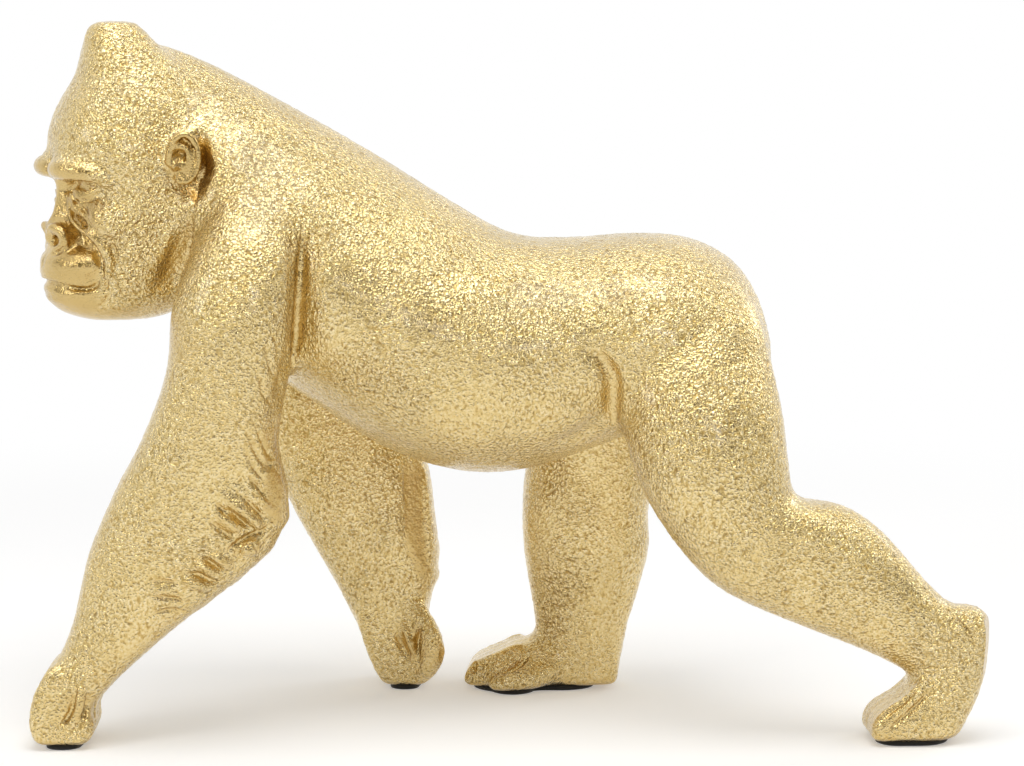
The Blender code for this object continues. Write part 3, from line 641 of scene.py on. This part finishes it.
# Middles and radii of the knuckles, toes and heel that are rubbed smooth
WORN_PLACES = (
    ((-208, -80, 22), 8),
    ((-199, -76, 18), 8),
    ((-53, 42, 25), 8),
    ((-40, 40, 22), 7),
    ((0, 50, 26), 12),
    ((-16, 55, 12), 9),
    ((180, -62, 12), 12),
    ((232, -56, 45), 10),
)


def softstep(value, low, high):
    """0 below one value, 1 above the other and a soft step between them."""
    t = np.clip((value - low) / (high - low), 0, 1)
    return t * t * (3 - 2 * t)


def smooth_skin(points):
    """How smooth the skin is at points in millimetres: 0 on the pebbled coat, 1 where it is bare."""
    turn_back = np.array(head_place.inverted().to_3x3())
    local = (points - np.array(HEAD_PIVOT)) @ turn_back.T
    x, y, z = local.T
    wide = np.abs(y)
    # Bare face: from the brow to the chin, as far back as the folds beside the nose
    slant = np.clip(z - 5, 0, 20) * 0.35
    bare_front = softstep(-x, 53 + slant, 59 + slant)
    bare_front = bare_front * (1 - softstep(z, 24, 28)) * softstep(z, -60, -56)
    bare_front = bare_front * (1 - softstep(wide, 29, 35))
    # Ears, and the hollow behind each of them
    from_ear = np.hypot((x - EAR_X) / (EAR_HALF_WIDTH + 3), (z - EAR_Z) / (EAR_HALF_LENGTH + 3))
    ears = (1 - softstep(from_ear, 0.9, 1.15)) * softstep(wide, 39, 42)
    from_nape = np.hypot((x - EAR_X - 9) / 10, (z - EAR_Z + 4) / 18)
    ears = np.maximum(ears, 0.6 * (1 - softstep(from_nape, 0.6, 1.1)) * softstep(wide, 26, 32))
    # Underside of the chin
    chin = softstep(-z, 41, 46) * (1 - softstep(-z, 60, 70)) * softstep(-x, 20, 45) * 0.75
    head_part = np.maximum.reduce([bare_front, ears, chin]) * (points[:, 0] < -120)
    soles = 1 - softstep(points[:, 2], *SOLE_RISE)
    knuckles = np.zeros(len(points))
    for centre, radius in WORN_PLACES:
        distance = np.linalg.norm(points - np.array(centre), axis=1)
        rubbed = WORN_SHARE * (1 - softstep(distance, radius * 0.6, radius * 1.3))
        knuckles = np.maximum(knuckles, rubbed)
    return np.maximum.reduce([head_part, soles, knuckles])


def pebbled(body, bare_share):
    """Raises the larger pebbles of the coat in the mesh itself."""
    points, normals = skin_points(body)
    height = np.empty(len(points))
    for index, point in enumerate(points / COAT_CELL):
        spot = Vector(point)
        height[index] = noise.noise(spot) + 0.5 * noise.noise(spot * 2.1)
    height *= COAT_HEIGHT * (1 - bare_share)
    move_skin(body, points + normals * height[:, None])


bare_share = np.maximum(smooth_skin(skin_points(gorilla)[0]), tooled_share)
pebbled(gorilla, bare_share)
every_point = KDTree(len(bare_share))
for index, vert in enumerate(gorilla.data.vertices):
    every_point.insert(vert.co, index)
every_point.balance()
# The fine carving keeps more of its triangles than the rest
guard = gorilla.vertex_groups.new(name="fine carving")
for index in np.nonzero(bare_share > CARVED_FROM)[0]:
    guard.add([int(index)], GUARD_SHARE, "REPLACE")
fewer = gorilla.modifiers.new("fewer triangles", "DECIMATE")
triangle_count = sum(len(face.vertices) - 2 for face in gorilla.data.polygons)
fewer.ratio = SHOWN_TRIANGLES / triangle_count
fewer.vertex_group = guard.name
fewer.vertex_group_factor = GUARD_STRENGTH
fewer.invert_vertex_group = True
settled(gorilla)
gorilla.data.shade_smooth()
bare = gorilla.data.attributes.new("bare_skin", "FLOAT", "POINT")
nearest = [every_point.find(vert.co)[1] for vert in gorilla.data.vertices]
bare.data.foreach_set("value", bare_share[nearest])


def feed(tree, socket, value):
    """Sets a socket to a number or a colour, or links it to another node's output."""
    if isinstance(value, bpy.types.NodeSocket):
        tree.links.new(value, socket)
    else:
        socket.default_value = value


def node(tree, kind, **sockets):
    """A shader node with its sockets fed."""
    made = tree.nodes.new(kind)
    for name, value in sockets.items():
        feed(tree, made.inputs[name.replace("_", " ")], value)
    return made


def ramp(tree, value, stops):
    """A colour ramp over a value. A stop is its place and its colour."""
    made = node(tree, "ShaderNodeValToRGB", Fac=value)
    while len(made.color_ramp.elements) < len(stops):
        made.color_ramp.elements.new(0.5)
    for element, (place, colour) in zip(made.color_ramp.elements, stops):
        element.position = place
        element.color = (*colour, 1)
    return made.outputs["Color"]


def maths(tree, operation, first, second):
    """Two values put together by one operation."""
    made = tree.nodes.new("ShaderNodeMath")
    made.operation = operation
    for socket, value in zip(made.inputs, (first, second)):
        feed(tree, socket, value)
    return made.outputs[0]


def mixed(tree, share, first, second):
    """A colour that goes from the first to the second with a share."""
    made = tree.nodes.new("ShaderNodeMix")
    made.data_type = "RGBA"
    for number, value in ((0, share), (6, first), (7, second)):
        feed(tree, made.inputs[number], value)
    return made.outputs[2]


PEBBLES_PER_METRE = 700.0
CRUMBS_PER_METRE = 900.0
DOME_SHARE = 0.5
CRUMB_SHARE = 0.75


def grain(tree, place, stretch):
    """Height of the grain: domed pebbles about 1.4 mm wide, drawn out along one direction."""
    drawn_out = node(tree, "ShaderNodeVectorMath", Vector=place)
    drawn_out.operation = "MULTIPLY"
    drawn_out.inputs[1].default_value = stretch
    spot = drawn_out.outputs[0]
    pebbles = node(tree, "ShaderNodeTexVoronoi", Vector=spot, Scale=PEBBLES_PER_METRE)
    crumbs = node(tree, "ShaderNodeTexNoise", Vector=spot, Scale=CRUMBS_PER_METRE, Detail=1.0)
    squared = maths(tree, "MULTIPLY", pebbles.outputs["Distance"], pebbles.outputs["Distance"])
    dome = maths(tree, "MULTIPLY", maths(tree, "SUBTRACT", 1.0, squared), DOME_SHARE)
    return maths(tree, "ADD", dome, maths(tree, "MULTIPLY", crumbs.outputs["Fac"], CRUMB_SHARE))


def eased(tree, value, low, high, at_low, at_high):
    """A value carried smoothly from one range to another."""
    made = node(tree, "ShaderNodeMapRange", Value=value)
    made.interpolation_type = "SMOOTHSTEP"
    names = ("From Min", "From Max", "To Min", "To Max")
    for name, number in zip(names, (low, high, at_low, at_high)):
        made.inputs[name].default_value = number
    return made.outputs["Result"]


GRAIN_HEIGHT = 0.0015
PIT_ROUGHNESS = 0.32
DOME_ROUGHNESS = 0.19
POLISHED_ROUGHNESS = 0.22
# Golds of the coat, from the painted shade in the pits of the grain to the plain gold on the tops of
# the pebbles, and golds of the bare skin
COAT_GOLDS_WITH_PIT_SHADE = [
    (0.46, (0.50, 0.33, 0.10)),
    (0.60, (0.68, 0.50, 0.19)),
    (0.74, (0.76, 0.59, 0.27)),
    (0.95, (0.84, 0.70, 0.41)),
]
BARE_GOLDS = [(0.3, (0.55, 0.38, 0.13)), (0.7, (0.70, 0.52, 0.22))]


def gold_coat():
    """Gold lacquer over the pebbled coat: pale on the tops, with painted shade that darkens the gold
    in the pits.
    """
    made = bpy.data.materials.new("gold_coat")
    made.use_nodes = True
    tree = made.node_tree
    shader = tree.nodes["Principled BSDF"]
    place = tree.nodes.new("ShaderNodeTexCoord").outputs["Object"]
    mask = tree.nodes.new("ShaderNodeAttribute")
    mask.attribute_name = "bare_skin"
    bare_share = mask.outputs["Fac"]
    coat_share = maths(tree, "SUBTRACT", 1.0, bare_share)
    # The grain runs upright in some patches and level in others
    warp = node(tree, "ShaderNodeTexNoise", Vector=place, Scale=300.0, Detail=1.0)
    bend = node(tree, "ShaderNodeVectorMath", Vector=warp.outputs["Color"])
    bend.operation = "SCALE"
    bend.inputs["Scale"].default_value = 0.0016
    shifted = tree.nodes.new("ShaderNodeVectorMath")
    shifted.operation = "ADD"
    feed(tree, shifted.inputs[0], place)
    feed(tree, shifted.inputs[1], bend.outputs[0])
    lie = node(tree, "ShaderNodeTexNoise", Vector=place, Scale=11.0, Detail=1.0)
    level_share = eased(tree, lie.outputs["Fac"], 0.42, 0.58, 0.0, 1.0)
    upright = grain(tree, shifted.outputs[0], (1.0, 1.0, 0.78))
    level = grain(tree, shifted.outputs[0], (0.88, 1.0, 1.0))
    both = tree.nodes.new("ShaderNodeMix")
    for number, value in ((0, level_share), (2, upright), (3, level)):
        feed(tree, both.inputs[number], value)
    pebble_height = both.outputs[0]
    # Patches of stronger and weaker grain
    patches = node(tree, "ShaderNodeTexNoise", Vector=place, Scale=30.0, Detail=2.0)
    strength = eased(tree, patches.outputs["Fac"], 0.3, 0.7, 0.55, 1.15)
    height = maths(tree, "MULTIPLY", pebble_height, maths(tree, "MULTIPLY", strength, coat_share))
    # Painted shade: the gold darkens towards the pits of the grain, standing in for the shade that
    # falls there
    coat_gold_with_pit_shade = ramp(tree, pebble_height, COAT_GOLDS_WITH_PIT_SHADE)
    bare_gold = ramp(tree, patches.outputs["Fac"], BARE_GOLDS)
    tree.links.new(mixed(tree, bare_share, coat_gold_with_pit_shade, bare_gold), shader.inputs["Base Color"])
    gloss = eased(tree, pebble_height, 0.5, 0.9, PIT_ROUGHNESS, DOME_ROUGHNESS)
    rough = maths(tree, "MULTIPLY", gloss, coat_share)
    polished = maths(tree, "MULTIPLY", bare_share, POLISHED_ROUGHNESS)
    tree.links.new(maths(tree, "ADD", rough, polished), shader.inputs["Roughness"])
    # Bare skin is polished, but still uneven from the modelling
    tooling = node(tree, "ShaderNodeTexNoise", Vector=place, Scale=330.0, Detail=3.0, Roughness=0.6)
    small = maths(tree, "MULTIPLY", tooling.outputs["Fac"], maths(tree, "MULTIPLY", bare_share, 0.55))
    relief = maths(tree, "ADD", height, small)
    bump = node(tree, "ShaderNodeBump", Strength=1.0, Distance=GRAIN_HEIGHT, Height=relief)
    tree.links.new(bump.outputs["Normal"], shader.inputs["Normal"])
    shader.inputs["Metallic"].default_value = 1.0
    shader.inputs["Coat Weight"].default_value = 0.5
    shader.inputs["Coat Roughness"].default_value = 0.15
    return made


gorilla.data.materials.clear()
gorilla.data.materials.append(gold_coat())
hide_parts("gorilla_body")
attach(gorilla, "root")

# Felt pads
# Four pads are cut from black felt about 2 mm thick and stuck under the fists and the feet.
# Their cut edge is slightly rounded and frayed.

PAD_GLUE_REACH = 0.25
PAD_EDGE_ROUND = 0.5
PAD_FRAY = 0.012


def felt():
    """Matted black wool: fine fibres that catch a little light."""
    made = bpy.data.materials.new("black_felt")
    made.use_nodes = True
    tree = made.node_tree
    shader = tree.nodes["Principled BSDF"]
    place = tree.nodes.new("ShaderNodeTexCoord").outputs["Object"]
    fibres = node(tree, "ShaderNodeTexNoise", Vector=place, Scale=1600.0, Detail=6.0)
    fibres.inputs["Roughness"].default_value = 0.7
    fibres.inputs["Distortion"].default_value = 1.5
    shades = [(0.35, (0.008, 0.008, 0.009)), (0.7, (0.035, 0.034, 0.033))]
    tree.links.new(ramp(tree, fibres.outputs["Fac"], shades), shader.inputs["Base Color"])
    bump = node(tree, "ShaderNodeBump", Strength=0.8, Distance=0.0004, Height=fibres.outputs["Fac"])
    tree.links.new(bump.outputs["Normal"], shader.inputs["Normal"])
    shader.inputs["Roughness"].default_value = 0.95
    shader.inputs["Sheen Weight"].default_value = 0.3
    shader.inputs["Sheen Roughness"].default_value = 0.5
    return made


def felt_pad(solid, name, finish):
    """A pad with the outline of its solid, thick enough to reach the sole through the glue."""
    low = min(vert.co.z for vert in solid.data.vertices)
    top = max(vert.co.z for vert in solid.data.vertices) + PAD_GLUE_REACH * MM
    rim = [vert.co.xy for vert in solid.data.vertices if vert.co.z < low + 0.01 * MM]
    middle = sum(rim, Vector((0, 0))) / len(rim)
    spokes = {round(math.atan2(*(spot - middle)), 4): spot - middle for spot in rim}
    outline = [spokes[angle] for angle in sorted(spokes)]
    frayed = []
    for index in range(len(outline)):
        ragged = noise.noise(Vector((index * 1.7, 3, len(name))))
        frayed.append(1 - PAD_FRAY * (1 + ragged))
    disc = bmesh.new()
    rows = []
    # Share of the outline's reach, height and how much the edge is cut back
    for share, height, cut_back in (
        (0.55, low, 0),
        (0.9, low, 0),
        (1.0, low, 0),
        (1.0, (low + top) / 2, 0),
        (1.0, top, PAD_EDGE_ROUND),
        (0.9, top, 0),
        (0.5, top, 0),
    ):
        row = []
        for spoke, edge in zip(outline, frayed):
            reach = share
            if share == 1.0:
                reach = edge - cut_back * MM / spoke.length
            row.append(disc.verts.new((*(middle + spoke * reach), height)))
        rows.append(row)
    for low_row, high_row in zip(rows, rows[1:]):
        for i in range(len(outline)):
            j = (i + 1) % len(outline)
            disc.faces.new((low_row[i], low_row[j], high_row[j], high_row[i]))
    for row in (rows[0], rows[-1]):
        disc.faces.new(row)
    bmesh.ops.recalc_face_normals(disc, faces=disc.faces)
    mesh = bpy.data.meshes.new(name)
    disc.to_mesh(mesh)
    disc.free()
    mesh.materials.append(finish)
    pad = bpy.data.objects.new(name, mesh)
    bpy.context.scene.collection.objects.link(pad)
    rounder = pad.modifiers.new("rounded edge", "SUBSURF")
    rounder.levels = rounder.render_levels = 1
    settled(pad)
    pad.data.shade_smooth()
    return pad


black_felt = felt()
for solid_name in sorted(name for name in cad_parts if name.startswith("felt_pad")):
    pad = felt_pad(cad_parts[solid_name], solid_name.replace("felt_pad", "pad"), black_felt)
    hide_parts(solid_name)
    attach(pad, "root")

# Studio
# The figure stands on a white table in a white room. A large softbox hangs above it, and smaller
# ones stand to the left, to the right and behind the camera. The room behind the camera is dim.

TABLE_SIZE = 14.0
TABLE_SHEEN = 0.3
SHADOW_REACH = 0.45
TABLE_FADE = 0.5


def seen_rays(tree):
    """1 for the rays of the camera and of reflections, and 0 for the light that falls on things."""
    rays = tree.nodes.new("ShaderNodeLightPath").outputs
    mirrored = maths(tree, "MAXIMUM", rays["Is Glossy Ray"], rays["Is Transmission Ray"])
    return maths(tree, "MAXIMUM", rays["Is Camera Ray"], mirrored)


def white_table():
    """White card that takes the soft shadow near the figure and fades to plain white around it."""
    made = bpy.data.materials.new("white_table")
    made.use_nodes = True
    tree = made.node_tree
    card = tree.nodes["Principled BSDF"]
    card.inputs["Base Color"].default_value = (0.9, 0.9, 0.9, 1)
    card.inputs["Roughness"].default_value = 0.9
    card.inputs["Specular IOR Level"].default_value = 0.0
    card.inputs["Emission Color"].default_value = (1, 1, 1, 1)
    card.inputs["Emission Strength"].default_value = TABLE_SHEEN
    plain = node(tree, "ShaderNodeEmission", Color=(1, 1, 1, 1), Strength=1.0)
    distance = tree.nodes.new("ShaderNodeVectorMath")
    distance.operation = "LENGTH"
    feed(tree, distance.inputs[0], tree.nodes.new("ShaderNodeTexCoord").outputs["Object"])
    reach = SHADOW_REACH + TABLE_FADE
    fade = eased(tree, distance.outputs["Value"], SHADOW_REACH, reach, 0.0, 1.0)
    blend = tree.nodes.new("ShaderNodeMixShader")
    feed(tree, blend.inputs["Fac"], maths(tree, "MULTIPLY", fade, seen_rays(tree)))
    feed(tree, blend.inputs[1], card.outputs[0])
    feed(tree, blend.inputs[2], plain.outputs[0])
    tree.links.new(blend.outputs[0], tree.nodes["Material Output"].inputs["Surface"])
    return made


bpy.ops.mesh.primitive_plane_add(size=TABLE_SIZE, location=(0, 0, 0))
table = bpy.context.object
table.name = "table"
table.data.materials.append(white_table())

AMBIENT_LIGHT = 0.5
DIM_ROOM = (0.14, 0.115, 0.08)
FIGURE_MIDDLE = Vector((0, 0, 0.17))

world = bpy.data.worlds.new("studio")
bpy.context.scene.world = world
world.use_nodes = True
room = world.node_tree
air = room.nodes["Background"]
direction = room.nodes.new("ShaderNodeTexCoord").outputs["Generated"]
towards = node(room, "ShaderNodeSeparateXYZ", Vector=direction).outputs
# The half of the room behind the camera is dim between the floor and the ceiling
above_floor = eased(room, towards["Z"], 0.0, 0.12, 0.0, 1.0)
below_ceiling = eased(room, towards["Z"], 0.45, 0.75, 1.0, 0.0)
behind_camera = eased(room, towards["Y"], -0.45, 0.25, 1.0, 0.0)
wall = maths(room, "MULTIPLY", above_floor, below_ceiling)
dimness = maths(room, "MULTIPLY", wall, behind_camera)
shade = ramp(room, dimness, [(0.0, (1, 1, 1)), (1.0, DIM_ROOM)])
# The camera itself sees plain white, and things are lit by the room at a lower level
camera_rays = room.nodes.new("ShaderNodeLightPath").outputs["Is Camera Ray"]
feed(room, air.inputs["Color"], mixed(room, camera_rays, shade, (1, 1, 1, 1)))
level = node(room, "ShaderNodeMapRange", Value=seen_rays(room), To_Min=AMBIENT_LIGHT)
feed(room, air.inputs["Strength"], level.outputs["Result"])


def softbox(name, place, power, size):
    """A square area lamp aimed at the middle of the figure."""
    lamp = bpy.data.lights.new(name, "AREA")
    lamp.energy = power
    lamp.size = size
    box = bpy.data.objects.new(name, lamp)
    bpy.context.scene.collection.objects.link(box)
    box.location = place
    box.rotation_mode = "QUATERNION"
    box.rotation_quaternion = (FIGURE_MIDDLE - Vector(place)).to_track_quat("-Z", "Y")


softbox("top_softbox", (0.0, -0.4, 1.7), 11, 1.0)
softbox("left_softbox", (-1.5, -1.1, 0.9), 4.5, 0.5)
softbox("front_softbox", (0.4, -2.1, 0.8), 2.5, 0.35)
softbox("right_softbox", (1.5, 1.0, 1.0), 4, 0.5)

# Camera
# It looks at the left side of the figure from just above the height of its head.

CAMERA_DISTANCE = 1.5
CAMERA_ELEVATION_DEG = 8.0
CAMERA_AIM = Vector((0.0003, 0.0009, 0.168))
FOCAL_PIXELS = 3000.0
PICTURE_WIDTH = 1024

camera = bpy.data.objects.new("camera", bpy.data.cameras.new("camera"))
bpy.context.scene.collection.objects.link(camera)
tilt = math.radians(CAMERA_ELEVATION_DEG)
backwards = Vector((0, -math.cos(tilt), math.sin(tilt)))
camera.location = CAMERA_AIM + backwards * CAMERA_DISTANCE
camera.rotation_mode = "QUATERNION"
camera.rotation_quaternion = backwards.to_track_quat("Z", "Y")
camera.data.lens = FOCAL_PIXELS / PICTURE_WIDTH * camera.data.sensor_width
bpy.context.scene.camera = camera
bpy.context.scene.view_settings.view_transform = "Standard"
